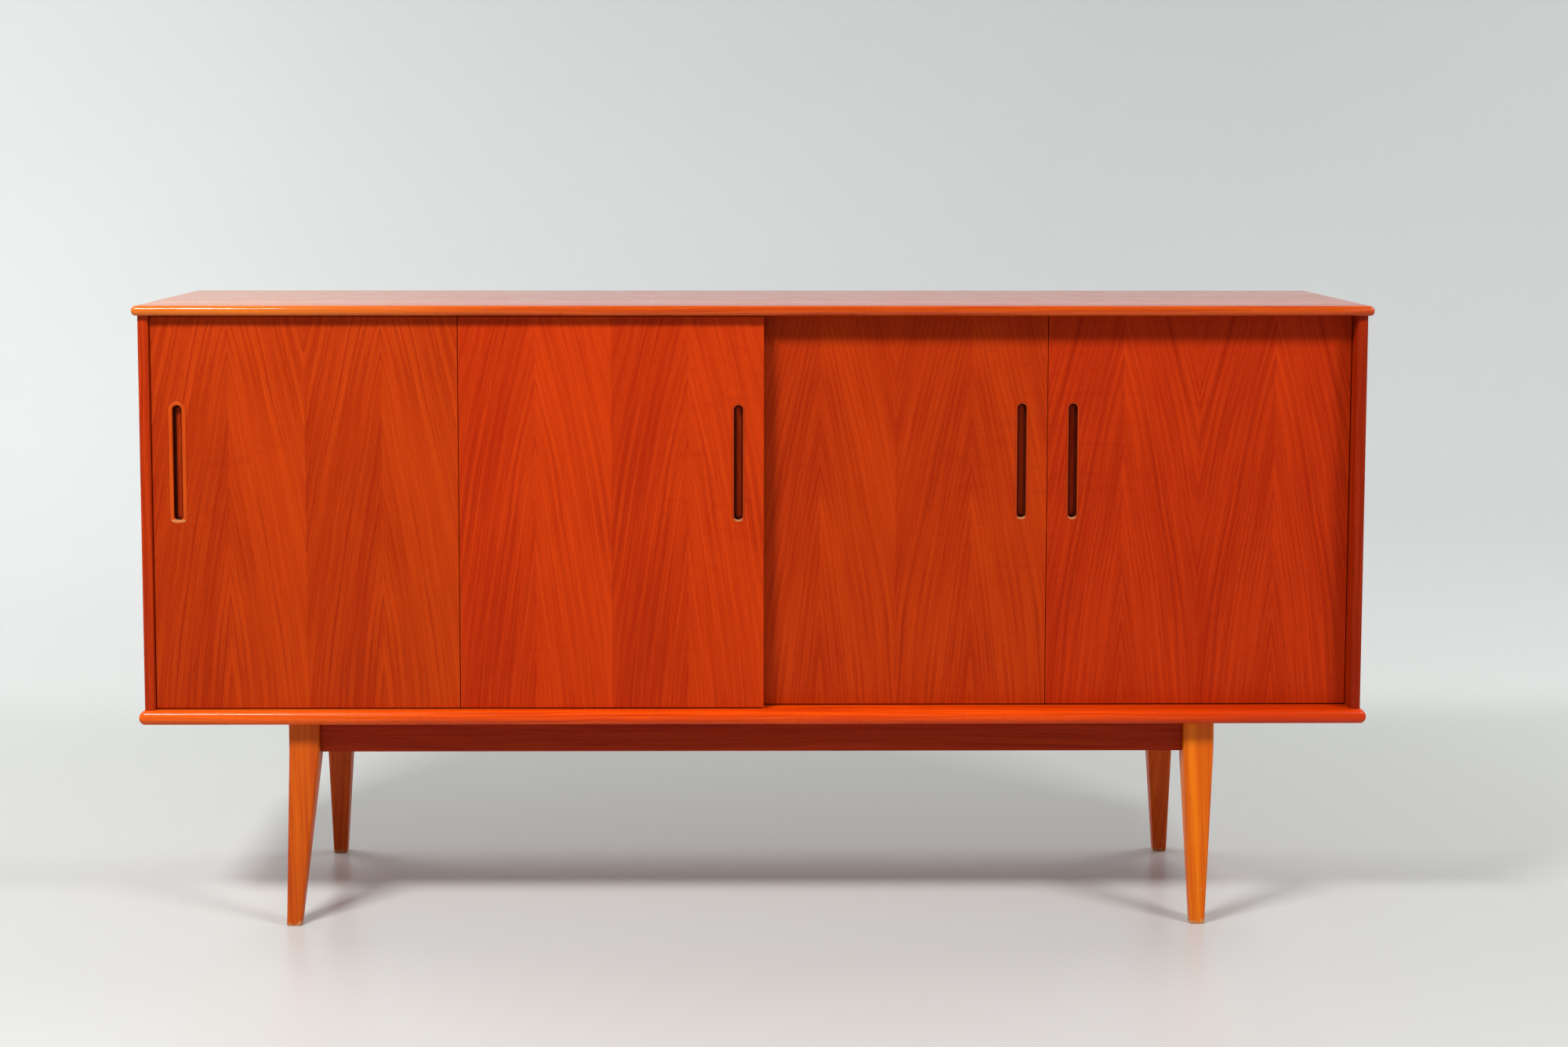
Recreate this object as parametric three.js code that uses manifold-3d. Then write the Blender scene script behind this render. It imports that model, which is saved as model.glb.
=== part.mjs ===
// A mid-century sideboard: a veneered carcass with four sliding doors on two tracks, over a frame of
// tapered legs. Millimetres, +Z up, doors towards -Y, origin on the floor under the middle.
import * as THREE from 'three';
import { mergeVertices } from 'three/addons/utils/BufferGeometryUtils.js';
import Module from 'manifold-3d';

const wasm = await Module();
wasm.setup();

// Overall size
const width = 2000;
const depth = 450;
const height = 1021;

// Carcass boards; "nose" is how deep the rounded edge of a board is
const topThick = 16;
const topNose = 6.5;
const bottomThick = 23;
const bottomNose = 9;
const floorZ = 360; // upper face of the bottom board
const sideThick = 17;
const sideNose = 4;
const sideOverhang = 7.5;
const sideSetback = 11; // front of the sides, behind the front of the boards
const sideRearSetback = 3;
const dividerThick = 16;
const dividerSpacing = 480;
const dividerFront = -157;
const backThick = 6;
const backFront = 210; // inner face of the back panel
const backLap = 8; // how far the back panel laps onto sides and boards
const lapGap = 0.5;

// Shelves and the pins under them
const shelfThick = 15;
const shelfUnder = 672;
const shelfFront = -148;
const shelfEndGap = 1;
const pinInset = 45; // from the front and rear edges of a shelf
const lug = { out: 9, wide: 10, tall: 5 };
const spigotRadius = 2.4;
const spigotLength = 7;
const seatGap = 0.3;

// Sliding doors
const doorWidth = 495;
const doorThick = 17;
const doorFaces = { front: -206, rear: -182 };
const doorGap = 0.5; // between two doors of one track
const doorEndGap = 1; // between a door and the side of the carcass
const doorEdgeGap = 2; // under and over a door
const trackWidth = 8;
const trackInset = 3.5; // from the door's face to its track
const lowerTrackDepth = 4;
const upperTrackDepth = 9;
const stripThick = 7;
const stripLet = 8; // how deep a runner or a guide sits in the door's edge
const guideReach = 5; // into the upper track
const runnerClear = 0.5; // above the bottom of the lower track

// Finger pulls: a slot with round ends, lined with a solid wood ring
const slotWidth = 15;
const slotHeight = 188;
const slotDepth = 12;
const slotZ = 765;
const slotInset = 41.5; // from the slot's middle to the near edge of the door
const wideLiner = 6.5;
const slimLiner = 2.5;

// Frame under the carcass
const postWidth = 50;
const postRadius = 7;
const apronHeight = 54;
const apronThick = 20;
const apronSetback = 14; // behind the outer faces of the posts
const postX = { left: -738, right: 732.5 };
const postY = { front: -171, rear: 171 };
const footWidth = 24;
const footRadius = 4;
const footChamfer = 1.5;
const footAt = {
  front_left: [-755, -201],
  front_right: [731, -201],
  rear_left: [-747, 201],
  rear_right: [743, 201],
};
const blockReach = 60; // of a corner block along each apron, past the post
const blockHeight = 30;
const screw = { radius: 2.3, head: 5, headThick: 3, bite: 14 };

// Sizes that follow from those above
const frontY = -depth / 2;
const rearY = depth / 2;
const ceilingZ = height - topThick;
const underZ = floorZ - bottomThick;
const wallX = width / 2 - sideOverhang - sideThick; // inner face of a side
const shelfRear = backFront - 2;
const pinRows = [shelfFront + pinInset, shelfRear - pinInset];
const pinZ = shelfUnder - lug.tall / 2;
const dividerX = { left: -dividerSpacing, centre: 0, right: dividerSpacing };
const doorLow = floorZ + doorEdgeGap;
const doorHigh = ceilingZ - doorEdgeGap;
const roundSteps = 10;

const materials = {
  teak: { color: 0xb5531f, roughness: 0.42, metalness: 0 },
  teakEdge: { color: 0xc76a2b, roughness: 0.38, metalness: 0 },
  teakDark: { color: 0x8a3c18, roughness: 0.5, metalness: 0 },
  beech: { color: 0xc98a45, roughness: 0.45, metalness: 0 },
  inner: { color: 0xa8632f, roughness: 0.6, metalness: 0 },
  plywood: { color: 0xb98a55, roughness: 0.7, metalness: 0 },
  fibre: { color: 0x4a2f1f, roughness: 0.6, metalness: 0 },
  brass: { color: 0xb8923f, roughness: 0.35, metalness: 1 },
  steel: { color: 0x9a9a96, roughness: 0.4, metalness: 1 },
};

const sideboard = new THREE.Group();

// ---- shapes ----

function box(x, y, z) {
  const [[x0, x1], [y0, y1], [z0, z1]] = [x, y, z];
  const geometry = new THREE.BoxGeometry(x1 - x0, y1 - y0, z1 - z0);
  return geometry.translate((x0 + x1) / 2, (y0 + y1) / 2, (z0 + z1) / 2);
}

// A shape pushed along an axis. It is drawn in (y, z) for X, (x, z) for Y and (x, y) for Z.
function prism(shape, axis, from, to) {
  const [alongX, alongY, alongZ] = [[1, 0, 0], [0, 1, 0], [0, 0, 1]].map((v) => new THREE.Vector3(...v));
  const turn = new THREE.Matrix4();
  if (axis === 'x') turn.makeBasis(alongY, alongZ, alongX).setPosition(from, 0, 0);
  if (axis === 'y') turn.makeBasis(alongX, alongZ, alongY.negate()).setPosition(0, to, 0);
  if (axis === 'z') turn.setPosition(0, 0, from);
  const options = { depth: to - from, bevelEnabled: false, curveSegments: roundSteps };
  return new THREE.ExtrudeGeometry(shape, options).applyMatrix4(turn);
}

// Half of an ellipse at the low end, square at the high end
function nosedOutline(from, to, low, high, nose) {
  const shape = new THREE.Shape();
  shape.moveTo(to, low);
  shape.lineTo(to, high);
  shape.lineTo(from + nose, high);
  shape.absellipse(from + nose, (low + high) / 2, nose, (high - low) / 2, Math.PI / 2, Math.PI * 1.5);
  return shape;
}

// Half of an ellipse at both ends
function twiceNosedOutline(half, low, high, nose) {
  const shape = new THREE.Shape();
  const middle = (low + high) / 2;
  const rise = (high - low) / 2;
  shape.absellipse(half - nose, middle, nose, rise, -Math.PI / 2, Math.PI / 2);
  shape.absellipse(nose - half, middle, nose, rise, Math.PI / 2, Math.PI * 1.5);
  return shape;
}

function stadium(Kind, x, z, wide, tall) {
  const outline = new Kind();
  const radius = wide / 2;
  const reach = tall / 2 - radius;
  outline.absarc(x, z + reach, radius, 0, Math.PI);
  outline.absarc(x, z - reach, radius, Math.PI, Math.PI * 2);
  return outline;
}

function roundedSquare(wide, radius) {
  const shape = new THREE.Shape();
  const reach = wide / 2 - radius;
  const corners = [[1, 1], [-1, 1], [-1, -1], [1, -1]];
  corners.forEach(([x, y], turn) => {
    const start = (turn * Math.PI) / 2;
    shape.absarc(x * reach, y * reach, radius, start, start + Math.PI / 2);
  });
  return shape;
}

function rod(radius, length, axis, x, y, z) {
  const geometry = new THREE.CylinderGeometry(radius, radius, length, 12);
  if (axis === 'x') geometry.rotateZ(Math.PI / 2);
  if (axis === 'z') geometry.rotateX(Math.PI / 2);
  return geometry.translate(x, y, z);
}

// ---- solids: joining and cutting ----

function solid(geometry) {
  const bare = geometry.clone();
  bare.deleteAttribute('normal');
  bare.deleteAttribute('uv');
  const merged = mergeVertices(bare, 1e-4);
  const vertProperties = new Float32Array(merged.attributes.position.array);
  const triVerts = new Uint32Array(merged.index.array);
  return new wasm.Manifold(new wasm.Mesh({ numProp: 3, vertProperties, triVerts }));
}

function surface(body) {
  const mesh = body.getMesh();
  const geometry = new THREE.BufferGeometry();
  geometry.setAttribute('position', new THREE.BufferAttribute(mesh.vertProperties, 3));
  geometry.setIndex(new THREE.BufferAttribute(mesh.triVerts, 1));
  geometry.computeVertexNormals();
  return geometry;
}

function cut(geometry, tools) {
  return surface(tools.reduce((body, tool) => body.subtract(solid(tool)), solid(geometry)));
}

function add(name, geometry, material) {
  const mesh = new THREE.Mesh(geometry, new THREE.MeshStandardMaterial(materials[material]));
  mesh.name = name;
  sideboard.add(mesh);
}

// ---- carcass ----

// A board rounded along its front and both ends
function nosedBoard(low, high, nose) {
  const frontToBack = prism(nosedOutline(frontY, rearY, low, high, nose), 'x', -width / 2, width / 2);
  const endToEnd = prism(twiceNosedOutline(width / 2, low, high, nose), 'y', frontY - 1, rearY + 1);
  return surface(solid(frontToBack).intersect(solid(endToEnd)));
}

// The two grooves that the doors run in
function tracks(low, high) {
  return Object.values(doorFaces).map((face) => {
    const front = face + trackInset;
    return box([-wallX, wallX], [front, front + trackWidth], [low, high]);
  });
}

function backRebate(low, high) {
  const reach = wallX + backLap + lapGap;
  return box([-reach, reach], [backFront, rearY + 1], [low, high]);
}

function screwPlace(row, hand) {
  const x = postX[hand] + inward(hand) * (postWidth / 2 + 11);
  const y = postY[row] + inward(row) * (postWidth / 2 + 11);
  return [x, y];
}

function inward(place) {
  return place === 'left' || place === 'front' ? 1 : -1;
}

function addBoards() {
  const pilots = corners().map(({ row, hand }) => {
    const length = screw.bite + 1;
    return rod(screw.radius + seatGap, length, 'z', ...screwPlace(row, hand), underZ + length / 2 - 0.5);
  });
  const bottom = nosedBoard(underZ, floorZ, bottomNose);
  const bottomCuts = [
    ...tracks(floorZ - lowerTrackDepth, floorZ + 1),
    backRebate(floorZ - backThick, floorZ + 1),
    ...pilots,
  ];
  add('bottom_board', cut(bottom, bottomCuts), 'teakEdge');
  const top = nosedBoard(ceilingZ, height, topNose);
  const topCuts = [
    ...tracks(ceilingZ - 1, ceilingZ + upperTrackDepth),
    backRebate(ceilingZ - 1, ceilingZ + backThick),
  ];
  add('top_board', cut(top, topCuts), 'teakEdge');
}

// Holes for the two pins on one face of an upright; "into" is the way that they go
function pinSeats(faceX, into) {
  const length = spigotLength + seatGap;
  return pinRows.map((y) => rod(spigotRadius + seatGap, length, 'x', faceX + (into * length) / 2, y, pinZ));
}

// The plan of a side: rounded along its front edge, cut back for the back panel
function sidePlan(sign) {
  const shape = new THREE.Shape();
  const front = frontY + sideSetback;
  const rear = rearY - sideRearSetback;
  const half = sideThick / 2;
  const lap = wallX + backLap + lapGap;
  shape.moveTo(sign * wallX, backFront);
  shape.lineTo(sign * lap, backFront);
  shape.lineTo(sign * lap, rear);
  shape.lineTo(sign * (wallX + sideThick), rear);
  shape.lineTo(sign * (wallX + sideThick), front + sideNose);
  const [start, end] = sign > 0 ? [0, -Math.PI] : [Math.PI, Math.PI * 2];
  shape.absellipse(sign * (wallX + half), front + sideNose, half, sideNose, start, end, sign > 0);
  return shape;
}

function addSides() {
  for (const [hand, sign] of [['left', -1], ['right', 1]]) {
    const panel = prism(sidePlan(sign), 'z', floorZ, ceilingZ);
    add(`side_${hand}`, cut(panel, pinSeats(sign * wallX, sign)), 'teak');
  }
}

function addDividers() {
  for (const [place, x] of Object.entries(dividerX)) {
    const faces = [x - dividerThick / 2, x + dividerThick / 2];
    const panel = box(faces, [dividerFront, backFront], [floorZ, ceilingZ]);
    add(`divider_${place}`, cut(panel, [...pinSeats(faces[0], 1), ...pinSeats(faces[1], -1)]), 'inner');
  }
}

function addBack() {
  const reach = wallX + backLap;
  const lapLow = floorZ - backThick + lapGap;
  const lapHigh = ceilingZ + backThick - lapGap;
  add('back_panel', box([-reach, reach], [backFront, backFront + backThick], [lapLow, lapHigh]), 'plywood');
}

// ---- shelves ----

// The left and right walls of the four bays
function bays() {
  const walls = [-wallX];
  for (const x of Object.values(dividerX)) walls.push(x - dividerThick / 2, x + dividerThick / 2);
  walls.push(wallX);
  return [0, 2, 4, 6].map((i) => [walls[i], walls[i + 1]]);
}

// A shelf pin: a round spigot in the wall and a flat lug under the shelf
function shelfPin(faceX, out, y) {
  const lugX = [faceX, faceX + out * lug.out].sort((a, b) => a - b);
  const plate = box(lugX, [y - lug.wide / 2, y + lug.wide / 2], [shelfUnder - lug.tall, shelfUnder]);
  const length = spigotLength + lug.out / 2;
  const middle = faceX + (out * (lug.out / 2 - spigotLength)) / 2;
  return surface(solid(plate).add(solid(rod(spigotRadius, length, 'x', middle, y, pinZ))));
}

function addShelves() {
  bays().forEach(([left, right], i) => {
    const span = [left + shelfEndGap, right - shelfEndGap];
    const board = box(span, [shelfFront, shelfRear], [shelfUnder, shelfUnder + shelfThick]);
    add(`shelf_${i + 1}`, board, 'inner');
    const places = [[left, 1], [right, -1]].flatMap(([x, out]) => pinRows.map((y) => [x, out, y]));
    places.forEach((place, j) => add(`shelf_pin_${i * 4 + j + 1}`, shelfPin(...place), 'brass'));
  });
}

// ---- doors ----

// From left to right, as they stand when the sideboard is closed
function doorPlans() {
  const outer = wallX - doorEndGap;
  const inner = outer - doorWidth - doorGap;
  return [
    { left: -outer, face: doorFaces.front, pullAt: 'left', liner: wideLiner },
    { left: -inner, face: doorFaces.front, pullAt: 'right', liner: slimLiner },
    { left: inner - doorWidth, face: doorFaces.rear, pullAt: 'right', liner: slimLiner },
    { left: outer - doorWidth, face: doorFaces.rear, pullAt: 'left', liner: slimLiner },
  ];
}

function addDoor(number, { left, face, pullAt, liner }) {
  const span = [left, left + doorWidth];
  const pullX = pullAt === 'left' ? left + slotInset : left + doorWidth - slotInset;
  const strip = [face + trackInset + 0.5, face + trackInset + 0.5 + stripThick];
  const stripSeat = [strip[0] - seatGap, strip[1] + seatGap];
  const ringWide = slotWidth + 2 * liner;
  const ringTall = slotHeight + 2 * liner;
  const pocket = stadium(THREE.Shape, pullX, slotZ, ringWide + 2 * seatGap, ringTall + 2 * seatGap);
  const panel = box(span, [face, face + doorThick], [doorLow, doorHigh]);
  const cuts = [
    prism(pocket, 'y', face - 1, face + slotDepth),
    box([left - 1, left + doorWidth + 1], stripSeat, [doorLow - 1, doorLow + stripLet]),
    box([left - 1, left + doorWidth + 1], stripSeat, [doorHigh - stripLet, doorHigh + 1]),
  ];
  add(`door_${number}`, cut(panel, cuts), 'teak');
  const ring = stadium(THREE.Shape, pullX, slotZ, ringWide, ringTall);
  ring.holes.push(stadium(THREE.Path, pullX, slotZ, slotWidth, slotHeight));
  add(`door_${number}_pull`, prism(ring, 'y', face, face + slotDepth), 'teakDark');
  const runnerLow = floorZ - lowerTrackDepth + runnerClear;
  add(`door_${number}_runner`, box(span, strip, [runnerLow, doorLow + stripLet]), 'fibre');
  add(`door_${number}_guide`, box(span, strip, [doorHigh - stripLet, ceilingZ + guideReach]), 'fibre');
}

// ---- frame under the carcass ----

function corners() {
  return ['front', 'rear'].flatMap((row) => ['left', 'right'].map((hand) => ({ row, hand })));
}

// A square post beside the aprons that tapers and splays down to a small foot
function leg(row, hand) {
  const [footX, footY] = footAt[`${row}_${hand}`];
  const rings = [
    { z: 0, wide: footWidth - 2 * footChamfer, radius: footRadius, x: footX, y: footY },
    { z: footChamfer, wide: footWidth, radius: footRadius, x: footX, y: footY },
    { z: underZ - apronHeight, wide: postWidth, radius: postRadius, x: postX[hand], y: postY[row] },
    { z: underZ, wide: postWidth, radius: postRadius, x: postX[hand], y: postY[row] },
  ];
  const outline = roundedSquare(2, 0.5);
  const steps = rings.length - 1;
  const options = { depth: steps, steps, bevelEnabled: false, curveSegments: 4 };
  const geometry = new THREE.ExtrudeGeometry(outline, options);
  const points = geometry.attributes.position;
  for (let i = 0; i < points.count; i += 1) {
    const { z, wide, radius, x, y } = rings[Math.round(points.getZ(i))];
    const bend = (value) => roundedReach(value, wide / 2, radius);
    points.setXYZ(i, x + bend(points.getX(i)), y + bend(points.getY(i)), z);
  }
  return geometry;
}

// Stretches an outline of half width 1 and corner radius 0.5 to another half width and radius
function roundedReach(value, half, radius) {
  const flat = Math.min(Math.abs(value), 0.5);
  const round = Math.abs(value) - flat;
  return Math.sign(value) * (flat * 2 * (half - radius) + round * 2 * radius);
}

function addLegs() {
  for (const { row, hand } of corners()) add(`leg_${row}_${hand}`, leg(row, hand), 'beech');
}

function addAprons() {
  const half = postWidth / 2;
  const tall = [underZ - apronHeight, underZ];
  for (const [row, y] of Object.entries(postY)) {
    const outer = y - inward(row) * (half - apronSetback);
    const thick = [outer, outer + inward(row) * apronThick].sort((a, b) => a - b);
    add(`apron_${row}`, box([postX.left + half, postX.right - half], thick, tall), 'teakDark');
  }
  for (const [hand, x] of Object.entries(postX)) {
    const outer = x - inward(hand) * (half - apronSetback);
    const thick = [outer, outer + inward(hand) * apronThick].sort((a, b) => a - b);
    add(`apron_${hand}`, box(thick, [postY.front + half, postY.rear - half], tall), 'teakDark');
  }
}

// A glue block that fills the corner behind a post, and the screw that holds the frame to the carcass
function addCornerBlocks() {
  const half = postWidth / 2;
  const nook = half - apronSetback - apronThick; // from the post's middle back to the apron's inner face
  for (const { row, hand } of corners()) {
    const across = inward(hand);
    const along = inward(row);
    const at = (x, y) => new THREE.Vector2(postX[hand] + across * x, postY[row] + along * y);
    const reach = half + blockReach;
    const outline = [
      at(half, -nook),
      at(reach, -nook),
      at(-nook, reach),
      at(-nook, half),
      at(half, half),
    ];
    const middleZ = underZ - blockHeight / 2;
    const hole = rod(screw.radius + seatGap, blockHeight + 2, 'z', ...screwPlace(row, hand), middleZ);
    const block = prism(new THREE.Shape(outline), 'z', underZ - blockHeight, underZ);
    add(`corner_block_${row}_${hand}`, cut(block, [hole]), 'beech');
    add(`frame_screw_${row}_${hand}`, frameScrew(...screwPlace(row, hand)), 'steel');
  }
}

function frameScrew(x, y) {
  const shoulder = underZ - blockHeight;
  const length = blockHeight + screw.bite + 1;
  const head = rod(screw.head, screw.headThick, 'z', x, y, shoulder - screw.headThick / 2);
  const shank = rod(screw.radius, length, 'z', x, y, shoulder - 1 + length / 2);
  return surface(solid(head).add(solid(shank)));
}

addBoards();
addSides();
addDividers();
addBack();
addShelves();
doorPlans().forEach((plan, i) => addDoor(i + 1, plan));
addLegs();
addAprons();
addCornerBlocks();

export default sideboard;
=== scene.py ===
import math

import bmesh
import bpy
import numpy as np
from mathutils import Matrix, Vector


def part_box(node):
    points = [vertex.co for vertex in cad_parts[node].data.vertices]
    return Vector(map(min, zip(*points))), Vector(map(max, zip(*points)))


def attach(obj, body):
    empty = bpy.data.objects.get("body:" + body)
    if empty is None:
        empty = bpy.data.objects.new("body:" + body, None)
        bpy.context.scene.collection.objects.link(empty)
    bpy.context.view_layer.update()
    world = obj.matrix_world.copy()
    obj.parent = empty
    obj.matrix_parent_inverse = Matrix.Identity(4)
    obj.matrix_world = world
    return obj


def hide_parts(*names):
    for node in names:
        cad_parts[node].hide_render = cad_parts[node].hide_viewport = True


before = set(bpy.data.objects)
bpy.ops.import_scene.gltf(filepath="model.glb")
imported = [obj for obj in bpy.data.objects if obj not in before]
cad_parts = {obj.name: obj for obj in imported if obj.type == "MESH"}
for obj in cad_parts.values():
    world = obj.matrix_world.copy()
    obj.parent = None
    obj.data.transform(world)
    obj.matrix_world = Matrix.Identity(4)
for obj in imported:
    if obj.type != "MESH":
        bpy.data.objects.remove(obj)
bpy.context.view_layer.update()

mm = 0.001


# The low and high corner of a CAD node
def boxOf(node):
    low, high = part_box(node)
    return np.array(low), np.array(high)


# The quads between the rows of a grid of points; the rows, or the columns, may close on themselves
def gridFaces(rows, columns, closeRows=False, closeColumns=False):
    r = np.arange(rows if closeRows else rows - 1)[:, None]
    c = np.arange(columns if closeColumns else columns - 1)[None, :]
    rNext, cNext = (r + 1) % rows, (c + 1) % columns
    corners = [r * columns + c, rNext * columns + c, rNext * columns + cNext, r * columns + cNext]
    return np.stack(corners, axis=-1).reshape(-1, 4)


# Makes the object, joins coinciding points, turns the faces outwards and keeps its arrises crisp
def makePiece(name, points, faces, sharpAngle=40):
    mesh = bpy.data.meshes.new(name)
    mesh.from_pydata(points.reshape(-1, 3).tolist(), [], faces)
    body = bmesh.new()
    body.from_mesh(mesh)
    bmesh.ops.remove_doubles(body, verts=body.verts, dist=0.004 * mm)
    bmesh.ops.dissolve_degenerate(body, edges=body.edges, dist=0.004 * mm)
    bmesh.ops.recalc_face_normals(body, faces=body.faces)
    body.to_mesh(mesh)
    body.free()
    mesh.shade_smooth()
    mesh.set_sharp_from_angle(angle=math.radians(sharpAngle))
    piece = bpy.data.objects.new(name, mesh)
    bpy.context.scene.collection.objects.link(piece)
    return piece


# Says what a finished piece rides on, which node it stands for and which finish it takes
def fit(piece, body, node, finish):
    piece.data.materials.clear()
    piece.data.materials.append(finish)
    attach(piece, body)
    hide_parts(node)


# A box with round arrises: each point of a cubic grid is pulled to an inner box, smaller by the radius,
# and pushed out from there by the radius
def roundedBox(name, low, high, radius):
    low, high = np.array(low, float), np.array(high, float)
    turns = np.tan(np.radians([45, 34, 22.5, 11, 0]))
    ticks = [np.concatenate([l + radius * (1 - turns), (h - radius * (1 - turns))[::-1]])
             for l, h in zip(low, high)]
    allPoints, allFaces, start = [], [], 0
    for axis in range(3):
        u, v = [ticks[i] for i in range(3) if i != axis]
        first, second = np.meshgrid(u, v, indexing="ij")
        for level in (low[axis], high[axis]):
            points = np.insert(np.stack([first, second], axis=-1), axis, level, axis=-1)
            allPoints.append(points.reshape(-1, 3))
            allFaces.append(gridFaces(len(u), len(v)) + start)
            start += len(u) * len(v)
    points = np.concatenate(allPoints)
    inner = np.clip(points, low + radius, high - radius)
    out = points - inner
    points = inner + out * radius / np.linalg.norm(out, axis=1, keepdims=True)
    return makePiece(name, points, np.concatenate(allFaces).tolist())


# The two boards: depth of the rounded front, depth of the grooves, which way the grooved face looks
boards = {
    "top_board": dict(nose=6.5 * mm, groove=9 * mm, facing=-1, slot="top_teak"),
    "bottom_board": dict(nose=9 * mm, groove=4 * mm, facing=1, slot="base_teak"),
}
boardDetail = dict(rebate=6 * mm, rebateReach=0.984, arris=0.8 * mm, corner=5 * mm, lip=0.5 * mm,
                   clear=0.5 * mm, flattest=math.radians(8), noseSteps=18)


# The end view of a board, from the top of its nose round to the back: half an ellipse, then the flat
# faces. Returns y, z and the depths that the grooves and the rebate take off at each point.
def boardSection(low, high, nose, grooveDepth, grooves):
    d = boardDetail
    middle, half = (low[2] + high[2]) / 2, (high[2] - low[2]) / 2
    turn = np.linspace(math.pi / 2, 1.5 * math.pi, d["noseSteps"] + 1)
    y = list(low[1] + nose + nose * np.cos(turn))
    z = list(middle + half * np.sin(turn))
    sink = [(0, 0)] * len(y)  # groove depth, rebate depth
    rearY, topZ, lip = high[1], high[2], d["lip"]
    y += [rearY - d["arris"], rearY - 0.3 * d["arris"], rearY]
    z += [low[2], low[2] + 0.3 * d["arris"], low[2] + d["arris"]]
    sink += [(0, 0)] * 3
    rebateY = boxOf("back_panel")[0][1]
    y += [rearY, rearY - lip, rebateY, rebateY, rebateY - lip]
    z += [topZ - lip, topZ, topZ, topZ - lip, topZ]
    sink += [(0, d["rebate"]), (0, d["rebate"]), (0, d["rebate"]), (0, 0), (0, 0)]
    for y0, y1 in sorted(grooves, reverse=True):
        y += [y1 + lip, y1, y1, y0, y0, y0 - lip]
        z += [topZ, topZ - lip, topZ, topZ, topZ - lip, topZ]
        sink += [(0, 0), (0, 0), (grooveDepth, 0), (grooveDepth, 0), (0, 0), (0, 0)]
    return np.array(y), np.array(z), np.array(sink)


# The end view carried along X; towards each end its height shrinks as an ellipse does, its corners draw
# in by a small radius in plan, and grooves and rebate stop before the ends
def board(name):
    s, d = boards[name], boardDetail
    low, high = boxOf(name)
    strips = [boxOf("door_1_runner"), boxOf("door_4_runner")]
    grooves = [(a[1] - d["clear"], b[1] + d["clear"]) for a, b in strips]
    y, z, sink = boardSection(low, high, s["nose"], s["groove"], grooves)
    wall = boxOf("side_left")[1][0]
    end = high[0]
    flattest = d["flattest"]  # the tip of an end keeps a narrow flat
    turn = np.linspace(flattest, math.pi / 2, 10)
    gap = 0.02 * mm  # between the two sections where a groove or the rebate stops
    x = end - s["nose"] * (1 - np.cos(turn))
    x = np.sort(np.concatenate([x, [d["rebateReach"] + gap, d["rebateReach"], -wall + gap, -wall]]))
    x = np.concatenate([-x[::-1], x])
    inset = np.clip((s["nose"] - (end - np.abs(x))) / s["nose"], 0, 1)
    rise = np.sqrt(1 - inset ** 2)
    rise = np.maximum(rise, math.sin(flattest))
    grooved = (np.abs(x) <= -wall + gap / 2)[:, None]
    rebated = (np.abs(x) <= d["rebateReach"] + gap / 2)[:, None]
    height = z[None, :] - grooved * sink[None, :, 0] - rebated * sink[None, :, 1]
    middle = (low[2] + high[2]) / 2
    height = middle + (height - middle) * rise[:, None]
    if s["facing"] < 0:
        height = low[2] + high[2] - height
    near = np.clip((d["corner"] - (y - low[1])) / d["corner"], 0, 1)
    pull = d["corner"] * (1 - np.sqrt(1 - near ** 2))
    ramp = np.clip((np.abs(x) - (end - 3 * d["corner"])) / (2 * d["corner"]), 0, 1)
    xx = x[:, None] - np.sign(x)[:, None] * ramp[:, None] * pull[None, :]
    points = np.stack([xx, np.broadcast_to(y, xx.shape), height], axis=-1)
    faces = gridFaces(len(x), len(y), closeColumns=True).tolist()
    last = (len(x) - 1) * len(y)
    faces += [list(range(len(y))), list(range(last, last + len(y)))]
    return makePiece(name + "_shaped", points, faces, 35)


sides = dict(nose=4 * mm, noseSteps=16, arris=0.6 * mm)


# A plan outline, half an ellipse in front and a lap for the back, carried straight up
def side(hand):
    low, high = boxOf("side_" + hand)
    backFace = boxOf("back_panel")[0][1]
    outward = -1 if hand == "left" else 1
    inner, outer = (high[0], low[0]) if hand == "left" else (low[0], high[0])
    middle, half = (inner + outer) / 2, abs(outer - inner) / 2
    turn = np.linspace(0, math.pi, sides["noseSteps"] + 1)
    x = list(middle - outward * half * np.cos(turn))
    y = list(low[1] + sides["nose"] - sides["nose"] * np.sin(turn))
    a, lap = sides["arris"], boardDetail["rebateReach"] * outward
    x += [outer, outer - outward * a, lap, lap, inner]
    y += [high[1] - a, high[1], high[1], backFace, backFace]
    z = np.array([low[2], high[2]])
    outline = np.array(x)[None, :], np.array(y)[None, :], z[:, None]
    points = np.stack(np.broadcast_arrays(*outline), axis=-1)
    count = len(x)
    faces = gridFaces(2, count, closeColumns=True).tolist()
    faces += [list(range(count)), list(range(count, 2 * count))]
    return makePiece("side_" + hand + "_shaped", points, faces, 35)


doors = dict(clear=0.35 * mm, arris=0.9 * mm, rim=0.3 * mm, pocketDepth=12 * mm, pocketGap=0.3 * mm,
             sideSteps=8, roundSteps=24)
pulls = dict(slotWide=15 * mm, slotTall=188 * mm, lip=1.3 * mm, slimLip=1.0 * mm)


# A slot outline with round ends, from the lower right and anticlockwise, its points matching rectLoop's
def slotLoop(x, z, wide, tall):
    radius, reach = wide / 2, tall / 2 - wide / 2
    rise = np.linspace(-reach, reach, doors["sideSteps"], endpoint=False)
    turn = np.linspace(0, math.pi, doors["roundSteps"], endpoint=False)
    loopX = np.concatenate([np.full(len(rise), radius), radius * np.cos(turn),
                            np.full(len(rise), -radius), -radius * np.cos(turn)])
    loopZ = np.concatenate([rise, reach + radius * np.sin(turn), -rise, -reach - radius * np.sin(turn)])
    return x + loopX, z + loopZ


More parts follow.
